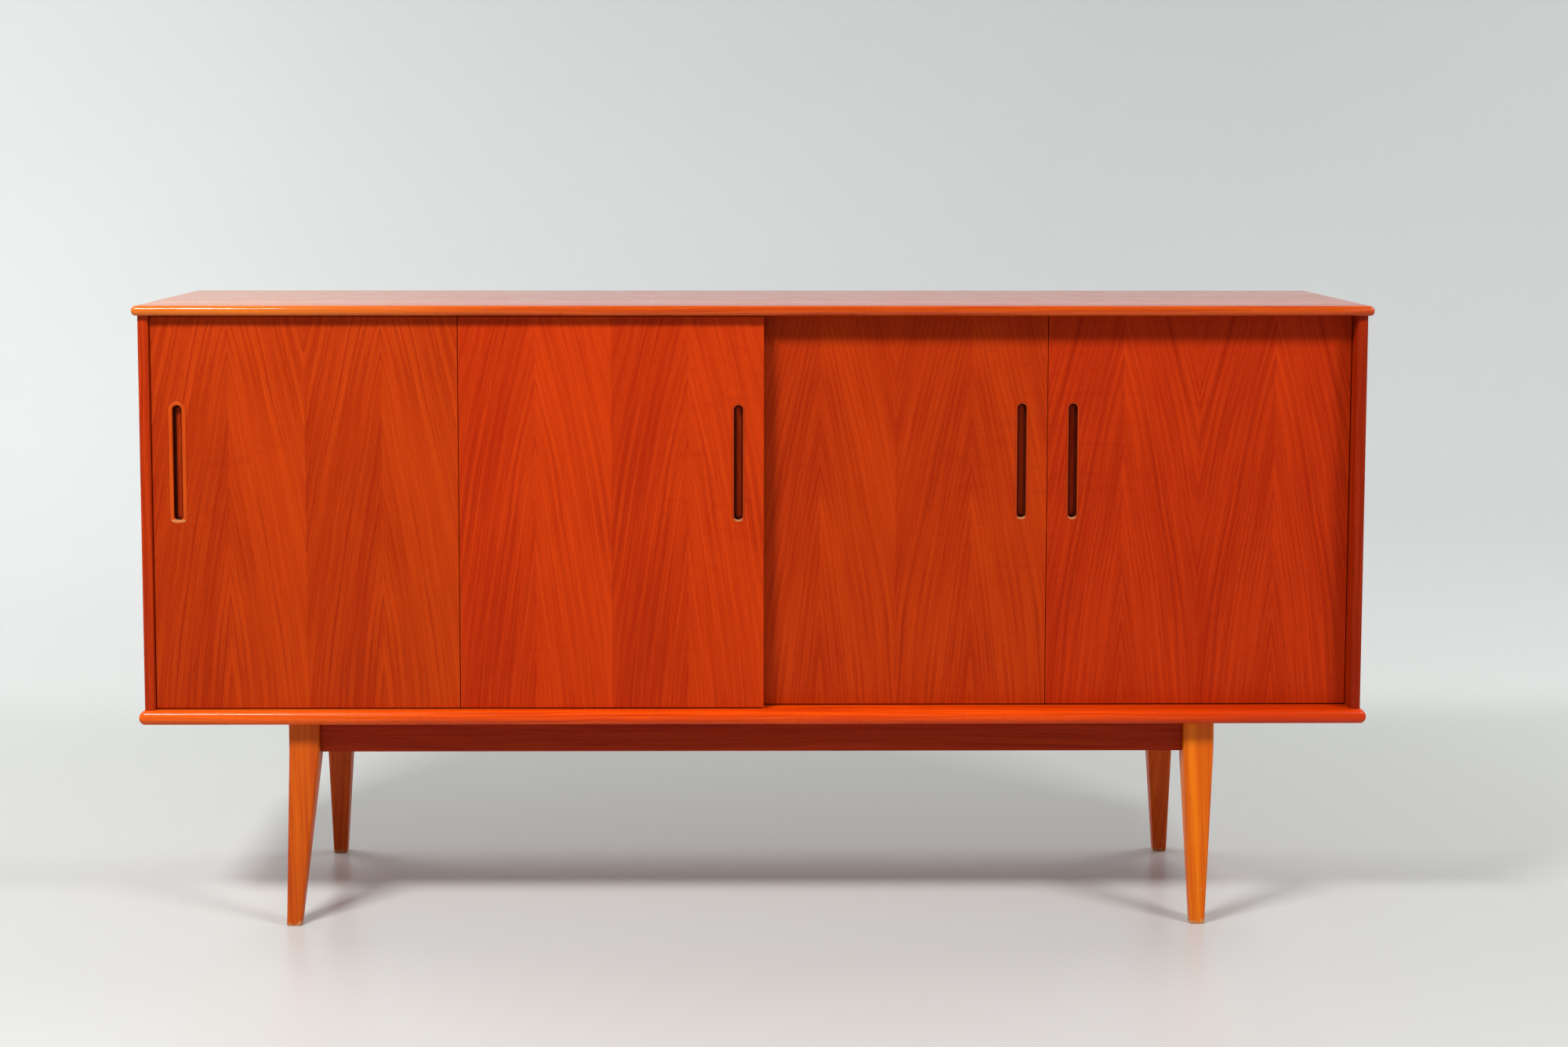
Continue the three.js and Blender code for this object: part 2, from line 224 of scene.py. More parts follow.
# A rectangle outline with small round corners, with as many points as slotLoop on each side
def rectLoop(low, high, radius, inset):
    x0, z0, x1, z1 = low[0] + inset, low[2] + inset, high[0] - inset, high[2] - inset
    radius = max(radius - inset, 0.05 * mm)
    corner = np.linspace(0, math.pi / 2, 4, endpoint=False)
    flat = doors["roundSteps"] - 8
    across = np.linspace(x1 - radius, x0 + radius, flat, endpoint=False)
    rise = np.linspace(z0 + radius, z1 - radius, doors["sideSteps"], endpoint=False)
    bend = corner + math.pi / 2
    loopX = [np.full(len(rise), x1), x1 - radius + radius * np.cos(corner), across,
             x0 + radius + radius * np.cos(bend), np.full(len(rise), x0),
             x0 + radius - radius * np.cos(corner), x0 + x1 - across,
             x1 - radius - radius * np.cos(bend)]
    loopZ = [rise, z1 - radius + radius * np.sin(corner), np.full(flat, z1),
             z1 - radius + radius * np.sin(bend), z0 + z1 - rise,
             z0 + radius - radius * np.sin(corner), np.full(flat, z0),
             z0 + radius - radius * np.sin(bend)]
    return np.concatenate(loopX), np.concatenate(loopZ)


# Outlines stacked into one grid, each at its own depth behind the face
def stackLoops(loops):
    return np.stack([np.stack([x, np.full(len(x), y), z], axis=-1) for x, z, y in loops])


# Where the finger slot of a door is, and the outer size of its liner
def pullPlace(number):
    low, high = boxOf(f"door_{number}_pull")
    return (low[0] + high[0]) / 2, (low[2] + high[2]) / 2, high[0] - low[0], high[2] - low[2]


# A panel as nested outlines: the floor of the pocket, its wall and rim, the face, the round arris
# and the back
def door(number):
    low, high = boxOf(f"door_{number}")
    clear = np.array([doors["clear"], 0, 0])
    low, high = low + clear, high - clear
    face, back, arris = low[1], high[1], doors["arris"]
    x, z, wide, tall = pullPlace(number)
    grow = 2 * doors["pocketGap"]
    pocketX, pocketZ = slotLoop(x, z, wide + grow, tall + grow)
    reach = (tall - wide) / 2
    spine = (np.full(len(pocketX), x), np.clip(pocketZ, z - reach, z + reach))
    depth = face + doors["pocketDepth"]
    rim = doors["rim"]
    loops = [(*spine, depth), (pocketX, pocketZ, depth), (pocketX, pocketZ, face + rim)]
    for spread in (rim, rim + 0.3 * mm):
        loops.append((*slotLoop(x, z, wide + grow + 2 * spread, tall + grow + 2 * spread), face))
    loops.append((*rectLoop(low, high, arris, 2 * arris), face))
    turn = np.linspace(0, math.pi / 2, 5)
    for t in turn:
        outline = rectLoop(low, high, arris, arris * (1 - math.sin(t)))
        loops.append((*outline, face + arris * (1 - math.cos(t))))
    for t in turn[::-1]:
        outline = rectLoop(low, high, arris, arris * (1 - math.sin(t)))
        loops.append((*outline, back - arris * (1 - math.cos(t))))
    loops.append((*spine, back))
    faces = gridFaces(len(loops), len(pocketX), closeColumns=True).tolist()
    return makePiece(f"door_{number}_veneered", stackLoops(loops), faces, 50)


# The solid ring in the pocket: outer wall, flush face, a lip rounded by fingers, and the slot's wall
def pullRing(number):
    low, high = boxOf(f"door_{number}_pull")
    x, z, wide, tall = pullPlace(number)
    p, face, back = pulls, low[1], high[1]
    lip = p["lip"] if wide - p["slotWide"] > 8 * mm else p["slimLip"]
    edge = 0.15 * mm
    loops = [(*slotLoop(x, z, wide, tall), back), (*slotLoop(x, z, wide, tall), face + edge),
             (*slotLoop(x, z, wide - 2 * edge, tall - 2 * edge), face)]
    for t in np.linspace(0, math.pi / 2, 7):
        spread = 2 * lip * (1 - math.sin(t))
        outline = slotLoop(x, z, p["slotWide"] + spread, p["slotTall"] + spread)
        loops.append((*outline, face + lip * (1 - math.cos(t))))
    loops.append((*slotLoop(x, z, p["slotWide"], p["slotTall"]), back))
    points = stackLoops(loops)
    faces = gridFaces(len(loops), points.shape[1], closeRows=True, closeColumns=True).tolist()
    return makePiece(f"door_{number}_liner", points, faces, 50)


softEdges = dict(strip=0.6 * mm, apron=1.5 * mm, divider=0.6 * mm, shelf=0.8 * mm, back=0.3 * mm,
                 pin=0.5 * mm, block=1 * mm, screw=0.6 * mm)
stripShort = 3 * mm  # a fibre strip ends this far from the edges of its door


# A copy of a plain CAD part with its corners joined and its arrises taken off
def softened(node, radius):
    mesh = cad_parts[node].data.copy()
    body = bmesh.new()
    body.from_mesh(mesh)
    bmesh.ops.remove_doubles(body, verts=body.verts, dist=0.01 * mm)
    bmesh.ops.dissolve_limit(body, angle_limit=math.radians(1), verts=body.verts, edges=body.edges)
    body.to_mesh(mesh)
    body.free()
    piece = bpy.data.objects.new(node + "_soft", mesh)
    bpy.context.scene.collection.objects.link(piece)
    bevel = piece.modifiers.new("arris", "BEVEL")
    bevel.width, bevel.segments, bevel.limit_method = radius, 3, "ANGLE"
    bevel.angle_limit = math.radians(40)
    mesh.shade_smooth()
    mesh.set_sharp_from_angle(angle=math.radians(50))
    return piece


tacks = dict(radius=3 * mm, rise=1.1 * mm, margin=8 * mm, across=14, down=6, sink=0.2 * mm)


# Tack heads along the edges of the back: each is a flat dome, its height falling as a quarter ellipse
def backTacks(name):
    s = tacks
    low, high = boxOf("back_panel")
    low, high = low + s["margin"], high - s["margin"]
    xs, zs = np.linspace(low[0], high[0], s["across"]), np.linspace(low[2], high[2], s["down"])[1:-1]
    placeX = np.concatenate([xs, xs, np.full(len(zs), low[0]), np.full(len(zs), high[0])])
    placeZ = np.concatenate([np.full(len(xs), low[2]), np.full(len(xs), high[2]), zs, zs])
    fall = np.linspace(0, math.pi / 2, 5)
    turn = np.linspace(0, 2 * math.pi, 14, endpoint=False)
    radius = np.concatenate([s["radius"] * np.sin(fall), [0]])
    level = np.concatenate([s["rise"] * np.cos(fall), [0]]) - s["sink"]
    rear = boxOf("back_panel")[1][1]
    domeX, domeZ = radius[:, None] * np.cos(turn), radius[:, None] * np.sin(turn)
    dome = np.stack([domeX, np.broadcast_to(rear + level[:, None], domeX.shape), domeZ], axis=-1)
    shifts = np.stack([placeX, np.zeros(len(placeX)), placeZ], axis=-1)
    points = dome[None] + shifts[:, None, None, :]
    one = gridFaces(len(radius), len(turn), closeColumns=True)
    faces = one[None] + np.arange(len(placeX))[:, None, None] * dome.shape[0] * dome.shape[1]
    return makePiece(name, points, faces.reshape(-1, 4).tolist(), 50)


legs = dict(foot=24 * mm, footRadius=4 * mm, post=50 * mm, postRadius=7 * mm, chamfer=1.5 * mm,
            knee=283 * mm, kneeEase=0.035, cornerSteps=8, splay={
                "front_left": (-755, -201), "front_right": (731, -201),
                "rear_left": (-747, 201), "rear_right": (743, 201)})


# Round-cornered squares carried up a straight line from the foot to the post, widening evenly to the
# knee, where the line eases into the upright post
def leg(place):
    s = legs
    top = boxOf("leg_" + place)[1][2]
    row, hand = place.split("_")
    footX, footY = np.array(s["splay"][place]) * mm
    apron = boxOf("apron_front")
    half = s["post"] / 2
    postX = apron[0][0] - half if hand == "left" else apron[1][0] + half
    postY = -boxOf("apron_left")[1][1] - half if row == "front" else boxOf("apron_left")[1][1] + half
    z = np.concatenate([s["chamfer"] * (1 - np.cos(np.radians([0, 45, 90]))),
                        np.linspace(6 * mm, s["knee"] - 30 * mm, 12),
                        np.linspace(s["knee"] - 22 * mm, s["knee"] + 22 * mm, 12), [top]])
    rise = (z - s["chamfer"]) / (s["knee"] - s["chamfer"])
    ease = s["kneeEase"]
    eased = rise + 1 - np.sqrt((rise - 1) ** 2 + ease ** 2) + ease / 2 * (rise > 1)
    rise = np.clip(0.5 * eased, 0, 1)
    wide = s["foot"] + (s["post"] - s["foot"]) * rise
    wide[:3] -= 2 * s["chamfer"] * (1 - np.sin(np.radians([0, 45, 90])))
    radius = (s["footRadius"] + (s["postRadius"] - s["footRadius"]) * rise)[:, None]
    quarter = np.linspace(0, math.pi / 2, s["cornerSteps"])
    turn = np.concatenate([quarter + k * math.pi / 2 for k in range(4)])
    signX = np.repeat([1, -1, -1, 1], s["cornerSteps"])
    signY = np.repeat([1, 1, -1, -1], s["cornerSteps"])
    flat = wide[:, None] / 2 - radius
    x = (footX + (postX - footX) * rise)[:, None] + signX * flat + radius * np.cos(turn)
    y = (footY + (postY - footY) * rise)[:, None] + signY * flat + radius * np.sin(turn)
    points = np.stack([x, y, np.broadcast_to(z[:, None], x.shape)], axis=-1)
    count = len(turn)
    faces = gridFaces(len(z), count, closeColumns=True).tolist()
    last = (len(z) - 1) * count
    faces += [list(range(count)), list(range(last, last + count))]
    return makePiece("leg_" + place + "_turned", points, faces, 30)


# The value of one socket. Sums, products and the like add Math nodes, with numbers on either side.
class Reading:
    def __init__(self, finish, socket):
        self.finish, self.socket = finish, socket

    def __add__(self, other):
        return self.finish.maths("ADD", self, other)

    def __radd__(self, other):
        return self.finish.maths("ADD", other, self)

    def __sub__(self, other):
        return self.finish.maths("SUBTRACT", self, other)

    def __rsub__(self, other):
        return self.finish.maths("SUBTRACT", other, self)

    def __mul__(self, other):
        return self.finish.maths("MULTIPLY", self, other)

    def __rmul__(self, other):
        return self.finish.maths("MULTIPLY", other, self)

    def __truediv__(self, other):
        return self.finish.maths("DIVIDE", self, other)

    def __rtruediv__(self, other):
        return self.finish.maths("DIVIDE", other, self)

    def __pow__(self, other):
        return self.finish.maths("POWER", self, other)

    def __rpow__(self, other):
        return self.finish.maths("POWER", other, self)

    def __mod__(self, other):
        return self.finish.maths("FLOORED_MODULO", self, other)

    def __rmod__(self, other):
        return self.finish.maths("FLOORED_MODULO", other, self)

    def __gt__(self, other):
        return self.finish.maths("GREATER_THAN", self, other)

    def __lt__(self, other):
        return self.finish.maths("LESS_THAN", self, other)

    def __abs__(self):
        return self.finish.maths("ABSOLUTE", self)


# One material and the nodes in it
class Finish:
    def __init__(self, name):
        self.material = bpy.data.materials.new(name)
        self.material.use_nodes = True
        self.nodes = self.material.node_tree.nodes
        self.links = self.material.node_tree.links
        self.shader = self.nodes["Principled BSDF"]
        place = self.nodes.new("ShaderNodeTexCoord").outputs["Object"]
        split = self.nodes.new("ShaderNodeSeparateXYZ")
        self.links.new(place, split.inputs[0])
        self.x, self.y, self.z = [Reading(self, out) for out in split.outputs]

    def join(self, socket, value):
        if isinstance(value, Reading):
            self.links.new(value.socket, socket)
        elif socket.type == "RGBA" and len(value) == 3:
            socket.default_value = (*value, 1)
        else:
            socket.default_value = value

    # Any node: its type and settings, then values or links for its sockets by name or number
    def node(self, kind, settings=None, inputs=None, output=0):
        made = self.nodes.new("ShaderNode" + kind)
        for key, value in (settings or {}).items():
            if key == "stops":
                ramp = made.color_ramp.elements
                while len(ramp) < len(value):
                    ramp.new(0.5)
                for stop, (position, level) in zip(ramp, value):
                    stop.position, stop.color = position, (level, level, level, 1)
            else:
                setattr(made, key, value)
        for key, value in (inputs or {}).items():
            self.join(made.inputs[key], value)
        return Reading(self, made.outputs[output])

    def maths(self, operation, *values):
        return self.node("Math", {"operation": operation}, dict(enumerate(values)))

    # 0 below low, 1 above high, smooth between
    def step(self, value, low, high):
        settings = {"interpolation_type": "SMOOTHSTEP", "clamp": True}
        return self.node("MapRange", settings, {"Value": value, "From Min": low, "From Max": high})

    # A number that varies smoothly with place, around 0.5; the three coordinates are already scaled
    def noise(self, a, b, c, detail=2, roughness=0.5):
        vector = self.node("CombineXYZ", None, {0: a, 1: b, 2: c})
        inputs = {"Vector": vector, "Scale": 1, "Detail": detail, "Roughness": roughness}
        return self.node("TexNoise", None, inputs)

    # The first colour, with an amount of the second over it
    def mix(self, amount, first, second):
        return self.node("Mix", {"data_type": "RGBA"}, {0: amount, 6: first, 7: second}, 2)

    def set(self, **sockets):
        for key, value in sockets.items():
            self.join(self.shader.inputs[key.replace("_", " ")], value)

    # Raises and sinks the surface by height, in metres
    def relief(self, height):
        bump = self.node("Bump", None, {"Strength": 1, "Distance": 1, "Height": height})
        self.join(self.shader.inputs["Normal"], bump)


# A screen colour, 0 to 255, as the linear numbers that a socket takes
def colour(*levels):
    part = np.array(levels) / 255
    return tuple(np.where(part <= 0.04045, part / 12.92, ((part + 0.055) / 1.055) ** 2.4).tolist())


# The tones of a wood around its middle colour: darker wood is redder, and pale wood yellower
def woodTones(r, g, b, spread=1.0):
    middle = np.array(colour(r, g, b))
    shades = dict(light=(1.3, 1.7, 2.2), middle=(1, 1, 1), dark=(0.74, 0.52, 0.4),
                  line=(0.5, 0.3, 0.25), pore=(0.42, 0.26, 0.2))
    return {name: tuple((middle * np.array(level) ** spread).tolist())
            for name, level in shades.items()}


doorTones = {1: woodTones(162, 45, 3), 2: woodTones(172, 44, 3), 3: woodTones(162, 43, 3),
             4: woodTones(166, 40, 3)}


# The figure of teak. across grows from ring to ring, and along follows the grain, both in metres.
# Broad bands, irregular ring lines that start sharp and fade out, streaks and fine stripes, and short
# pores, all of them noise stretched along the grain. Returns the colour, and the height of the surface.
def teakFigure(f, across, along, seed, tones, ringGap=11 * mm, lineDepth=0.55, bandDepth=0.16):
    band = f.noise(across * 24, along * 1.0, seed, 2, 0.5)
    warp = f.noise(across * 30, along * 0.8, seed + 3.1, 2)
    phase = (across / ringGap + warp * 3.0) % 1
    power = f.noise(across * 36, along * 0.7, seed + 7.7, 1)
    ring = (1 - phase) ** 8 * f.step(power, 0.4, 0.58)
    streak = f.noise(across * 210, along * 3.2, seed + 13, 2, 0.65)
    stripe = f.noise(across * 520, along * 9, seed + 11, 3, 0.7)
    pore = f.step(f.noise(across * 1500, along * 60, seed + 23, 1), 0.64, 0.72)
    shine = f.step(f.noise(across * 1100, along * 50, seed + 29, 1), 0.66, 0.76)
    blend = band * bandDepth + streak * (0.68 - bandDepth) + stripe * 0.32
    tone = f.step(blend, 0.34, 0.66)
    shade = f.mix(tone, tones["dark"], tones["light"])
    shade = f.mix(0.25, shade, tones["middle"])
    shade = f.mix(f.step(stripe, 0.56, 0.72) * 0.45, shade, tones["dark"])
    shade = f.mix(ring * lineDepth, shade, tones["line"])
    shade = f.mix(pore * 0.5, shade, tones["pore"])
    shade = f.mix(shine * 0.35, shade, tones["light"])
    height = (stripe - 0.5) * (0.03 * mm) - pore * (0.05 * mm) - ring * (0.02 * mm)
    return shade, height


veneer = dict(leaf=495 * mm / 4, lean=0.085, topLean=0.26, wander=12 * mm, edge=1.3 * mm)
# Smears are wear; the slot darkening is painted shade; the pale lower lip is wear and painted highlight
wearAndShade = dict(smearFrom=280 * mm, smearTo=60 * mm, smear=0.22, shadeInner=1.5 * mm, shadeOuter=5 * mm,
                slotShade=0.8, slotShadeColour=colour(44, 10, 3), rubbedAndLit=0.55, rubbedAndLitColour=colour(208, 146, 94))


# Door veneer: four leaves, book-matched. Within a leaf the grain lines are the places where the
# distance to the nearest quarter joint, plus a lean that grows towards the top, is the same. Every second
# leaf is turned over and takes the light better. The lipping along the edges is paler, and hands have
# left dull marks around the slots. Inside each slot the floor of the pocket is darkened along its middle:
# painted shade.
def doorTeak(number):
    f = Finish(f"door_{number}_veneer")
    low, high = boxOf(f"door_{number}")
    v, h, tones = veneer, wearAndShade, doorTones[number]
    width, tall = float(high[0] - low[0]), float(high[2] - low[2])
    across = f.x - float(low[0])
    up = (f.z - float(low[2])) / tall
    fromJoint = f.maths("PINGPONG", across - v["leaf"], v["leaf"])
    turned = f.maths("FLOOR", across / v["leaf"]) % 2
    seed = 3.7 * number
    drift = f.noise(fromJoint * 7, f.z * 2.4, seed, 2) - 0.5
    line = fromJoint + up * (v["lean"] * tall) + up * up * (0.5 * (v["topLean"] - v["lean"]) * tall)
    line = line + drift * (2 * v["wander"])
    shade, height = teakFigure(f, line, f.z, seed, tones)
    glow = f.noise(fromJoint * 9, f.z * 3.5, seed + 31, 2)
    shade = f.mix(f.step(glow, 0.32, 0.66) * turned * 0.34, shade, tones["light"])
    shade = f.mix((1 - turned) * f.step(glow, 0.36, 0.7) * 0.3, shade, tones["dark"])
    toEdge = f.maths("MINIMUM", f.maths("MINIMUM", across, width - across),
                     f.maths("MINIMUM", f.z - float(low[2]), float(high[2]) - f.z))
    shade = f.mix(f.step(toEdge, v["edge"], 0.6 * v["edge"]) * 0.5, shade, tones["light"])
    slotX, slotZ = map(float, pullPlace(number)[:2])
    reach = abs(f.x - slotX) + abs(f.z - slotZ) * 0.6
    smear = f.step(f.noise(f.x * 16 + 5 * drift, f.z * 60, seed + 41, 3), 0.55, 0.68)
    marks = smear * f.step(reach, h["smearFrom"], h["smearTo"])
    shade = f.mix(marks * h["smear"], shade, tones["dark"])
    # painted shade: the pocket floor seen through the slot is darkened along its middle line
    deep = f.y > float(low[1]) + 5 * mm
    straight = 0.5 * (pulls["slotTall"] - pulls["slotWide"])
    beyond = f.maths("MAXIMUM", abs(f.z - slotZ) - straight, 0)
    offAxis = ((f.x - slotX) ** 2 + beyond ** 2) ** 0.5
    slotShade = deep * f.step(offAxis, h["shadeInner"], h["shadeOuter"])
    slotShade = slotShade * (f.z > slotZ - 0.6 * pulls["slotTall"])
    shade = f.mix(slotShade * h["slotShade"], shade, h["slotShadeColour"])
    wear = f.noise(f.x * 30, f.y * 30, f.z * 30, 3)
    f.set(Base_Color=shade, Roughness=0.4 + 0.12 * wear + 0.1 * marks, Specular_IOR_Level=0.06)
    f.relief(height)
    return f.material


# Teak with its grain along X, as on boards and aprons; litLeftEnd paints light on it towards the left
# end, and shadedRightEnd paints shade on it towards the right one
def lengthwiseTeak(name, seed, tones, gloss=0.2, dull=0.2, litLeftEnd=0.0, shadedRightEnd=0.0, lineDepth=0.55):
    f = Finish(name)
    drift = f.noise(f.x * 1.6, f.y * 8, f.z * 8 + seed, 2) - 0.5
    line = f.y * 0.8 + f.z * 0.9 + drift * (30 * mm)
    shade, height = teakFigure(f, line, f.x, seed, tones, ringGap=9 * mm, lineDepth=lineDepth)
    wear = f.noise(f.x * 20, f.y * 30, f.z * 30, 3)
    dent = f.step(f.noise(f.x * 55, f.y * 120, f.z * 120 + seed, 2), 0.7, 0.76)
    shade = f.mix(dent * 0.4, shade, tones["line"])
    if litLeftEnd > 0:
        # painted light: paler and yellower towards the left end
        shade = f.mix(f.step(f.x + 0.4 * drift, -0.25, -0.9) * litLeftEnd, shade, colour(218, 127, 33))
    if shadedRightEnd > 0:
        # painted shade: darker towards the right end
        shade = f.mix(f.step(f.x + 0.4 * drift, 0.3, 0.95) * shadedRightEnd, shade, tones["dark"])
    f.set(Base_Color=shade, Roughness=dull + 0.14 * wear + 0.2 * dent, Specular_IOR_Level=gloss)
    f.relief(height - dent * (0.15 * mm))
    return f.material


# Teak with its grain upright
def uprightTeak(name, seed, tones, gloss=0.12, dull=0.32, shadeBehind=None, wornAndLitBelow=None):
    f = Finish(name)
    drift = f.noise(f.x * 7, f.y * 7, f.z * 1.8 + seed, 2) - 0.5
    line = f.y + f.x * 0.9 + drift * (26 * mm)
    shade, height = teakFigure(f, line, f.z, seed, tones)
    wear = f.noise(f.x * 20, f.y * 30, f.z * 30, 3)
    dent = f.step(f.noise(f.x * 120, f.y * 120, f.z * 40 + seed, 2), 0.7, 0.76)
    shade = f.mix(dent * 0.4, shade, tones["line"])
    if shadeBehind is not None:  # painted shade: the inside of a finger slot is darkened
        slotShade = f.step(f.y, shadeBehind, shadeBehind + 2 * mm)
        shade = f.mix(slotShade * 0.85, shade, wearAndShade["slotShadeColour"])
    if wornAndLitBelow is not None:  # the lowest part of the rim is pale: rubbed by fingers, and a painted highlight where it faces up
        rubbedAndLit = f.step(f.z, wornAndLitBelow + 3 * mm, wornAndLitBelow)
        rubbedAndLit = rubbedAndLit * f.step(f.z, wornAndLitBelow - 4 * mm, wornAndLitBelow - 1 * mm)
        shade = f.mix(rubbedAndLit * wearAndShade["rubbedAndLit"], shade, wearAndShade["rubbedAndLitColour"])
    f.set(Base_Color=shade, Roughness=dull + 0.14 * wear + 0.15 * dent, Specular_IOR_Level=gloss)
    f.relief(height - dent * (0.15 * mm))
    return f.material


# Each leg has its own tones. The rear legs are darker partly as painted shade, back under the cabinet,
# and partly from a darker stain
legTones = {
    "front_left": dict(light=colour(203, 95, 8), middle=colour(187, 73, 4), dark=colour(155, 49, 3)),
    "front_right": dict(light=colour(230, 122, 8), middle=colour(216, 98, 5), dark=colour(182, 68, 3)),
    "rear_left": dict(light=colour(202, 86, 9), middle=colour(180, 68, 5), dark=colour(144, 46, 3)),
    "rear_right": dict(light=colour(218, 92, 9), middle=colour(196, 73, 5), dark=colour(156, 49, 3)),
}


# Beech: faint upright rings and fine stripes, scattered short flecks, and pale bare wood where the feet
# are worn
def beech(name, seed, tones, worn=True):
    f = Finish(name)
    drift = f.noise(f.x * 9, f.y * 9, f.z * 1.5 + seed, 2) - 0.5
    line = f.x + 0.6 * f.y + drift * (14 * mm)
    ring = f.noise(line * 120, f.z * 1.5, seed, 3, 0.6)
    stripe = f.noise(line * 700, f.z * 9, seed + 5, 2, 0.6)
    fleck = f.step(f.noise(line * 1400, f.z * 160, seed + 9, 1), 0.66, 0.76)
    shade = f.mix(f.step(ring * 0.6 + stripe * 0.4, 0.36, 0.66), tones["dark"], tones["light"])
    shade = f.mix(0.4, shade, tones["middle"])
    shade = f.mix(fleck * 0.35, shade, tones["dark"])
    if worn:
        scuff = f.noise(f.x * 160, f.y * 160, f.z * 90 + seed, 4, 0.7)
        bare = f.step(scuff + (1 - f.step(f.z, 0, 16 * mm)) * 0.3, 0.68, 0.76)
        low = f.step(f.z, 140 * mm, 10 * mm) * f.step(scuff, 0.6, 0.72)
        shade = f.mix(f.maths("MAXIMUM", bare, low * 0.4) * 0.6, shade, colour(192, 146, 101))
        bruise = f.step(f.noise(f.x * 70, f.y * 70, f.z * 50 + seed, 2), 0.7, 0.78)
        shade = f.mix(bruise * 0.5, shade, colour(82, 33, 9))
    f.set(Base_Color=shade, Roughness=0.32 + 0.16 * f.noise(f.x * 40, f.y * 40, f.z * 20, 3),
          Specular_IOR_Level=0.14)
    f.relief((stripe - 0.5) * (0.03 * mm) - fleck * (0.03 * mm))
    return f.material


# Bare birch ply: broad pale cathedral figure on end, faint patches and short dark flecks
def plywood(name):
    f = Finish(name)
    drift = f.noise(f.x * 2.4, f.y * 4, f.z * 0.9, 3) - 0.5
    line = f.x + drift * (160 * mm)
    band = f.noise(line * 30, f.z * 0.7, 3, 3, 0.6)
    stripe = f.noise(line * 380, f.z * 6, 8, 2, 0.6)
    fleck = f.step(f.noise(line * 900, f.z * 60, 12, 1), 0.68, 0.76)
    patch = f.noise(f.x * 3, f.y * 3, f.z * 3, 3)
    figure = f.step(band * 0.7 + stripe * 0.3, 0.36, 0.66)
    shade = f.mix(figure, colour(155, 99, 52), colour(185, 133, 80))
    shade = f.mix(patch * 0.35, shade, colour(160, 110, 66))
    shade = f.mix(fleck * 0.35, shade, colour(103, 64, 37))
    f.set(Base_Color=shade, Roughness=0.6 + 0.15 * patch, Specular_IOR_Level=0.3)
    f.relief((stripe - 0.5) * (0.04 * mm) - fleck * (0.04 * mm))
    return f.material


# Plated or worn metal: bright, with duller patches and fine scratches
def metal(name, bright, dull, roughness):
    f = Finish(name)
    patch = f.noise(f.x * 260, f.y * 260, f.z * 260, 4, 0.6)
    scratch = f.noise(f.x * 2400, f.y * 300, f.z * 900, 2)
    shade = f.mix(f.step(patch, 0.45, 0.7), bright, dull)
    f.set(Base_Color=shade, Metallic=0.9 + 0.1 * patch, Roughness=roughness + 0.2 * patch)
    f.relief((scratch - 0.5) * (0.01 * mm))
    return f.material


stage = dict(flat=4.5, cove=6.5, wall=7.5, around=96, tone=colour(192, 194, 193),
             dullFrom=1.2, dullTo=2.2)


# A round floor that turns up into a wall: a profile of floor, quarter circle and wall, carried round
def makeStage():
    turn = np.linspace(0, math.pi / 2, 40)
    radius = np.concatenate([[0, 1.2, 2.4, 3.6], stage["flat"] + stage["cove"] * np.sin(turn),
                             [stage["flat"] + stage["cove"]]])
    height = np.concatenate([[0, 0, 0, 0], stage["cove"] * (1 - np.cos(turn)), [stage["wall"]]])
    around = np.linspace(0, 2 * math.pi, stage["around"], endpoint=False)
    x, y = radius[:, None] * np.cos(around), radius[:, None] * np.sin(around)
    points = np.stack([x, y, np.broadcast_to(height[:, None], x.shape)], axis=-1)
    faces = gridFaces(*x.shape, closeColumns=True).tolist()
    floor = makePiece("studio_floor", points, faces, 80)
    if floor.data.polygons[0].normal.z < 0:
        floor.data.flip_normals()
    f = Finish("pale_floor")
    cloud = f.noise(f.x * 0.6, f.y * 0.6, f.z * 0.6, 3)
    scuff = f.step(f.noise(f.x * 9, f.y * 30, f.z * 9, 4, 0.7), 0.6, 0.8)
    shade = f.mix(cloud, tuple(0.96 * c for c in stage["tone"]), stage["tone"])
    shade = f.mix(scuff * 0.04, shade, (0.4, 0.39, 0.38))
    fromMiddle = (f.x ** 2 + f.y ** 2) ** 0.5
    away = f.step(fromMiddle, stage["dullFrom"], stage["dullTo"])  # further out it is duller with dust
    f.set(Base_Color=shade, Roughness=0.26 + 0.1 * cloud + 0.4 * away, Specular_IOR_Level=0.4)
    floor.data.materials.append(f.material)


lampWhite, wallWhite = (1.0, 0.995, 0.975), (0.985, 0.995, 1.0)
frontLamp = dict(size=(1.0, 0.35), tint=lampWhite)
rearLamp = dict(aim=(0, 0, 0.3), size=(1.5, 1.5), tint=lampWhite)
backdropLamp = dict(size=(2.5, 2.5), tint=wallWhite)
sideLamp = dict(size=(3, 2), tint=wallWhite)
studioLights = {
    "key_lamp": dict(frontLamp, place=(-1.85, -2.12, 3.2), aim=(-0.2, 0, 0.3), power=147),
    "right_lamp": dict(frontLamp, place=(2.8, -2.12, 3.2), aim=(0.4, 0, 0.5), power=95),
    "left_rear_lamp": dict(rearLamp, place=(-3.2, 1.0, 3.6), power=62),
    "right_rear_lamp": dict(rearLamp, place=(3.2, 1.0, 3.6), power=60),
    "wall_lamp_left": dict(backdropLamp, place=(-3.5, 3.0, 5.5), aim=(-2.2, 9.5, 2), power=460),
    "wall_lamp_right": dict(backdropLamp, place=(3.5, 3.0, 5.5), aim=(3.5, 9.5, 1), power=172),
    "wall_lamp_front": dict(sideLamp, place=(0, -3.5, 6), aim=(0, -11, 3), power=180),
    "wall_lamp_east": dict(sideLamp, place=(4, -1, 6), aim=(11, -1, 2.5), power=350),
    "wall_lamp_west": dict(sideLamp, place=(-4, -1, 6), aim=(-11, -1, 2.5), power=350),
}
studioAir = dict(tint=(1.0, 1.0, 1.0), strength=0.1)


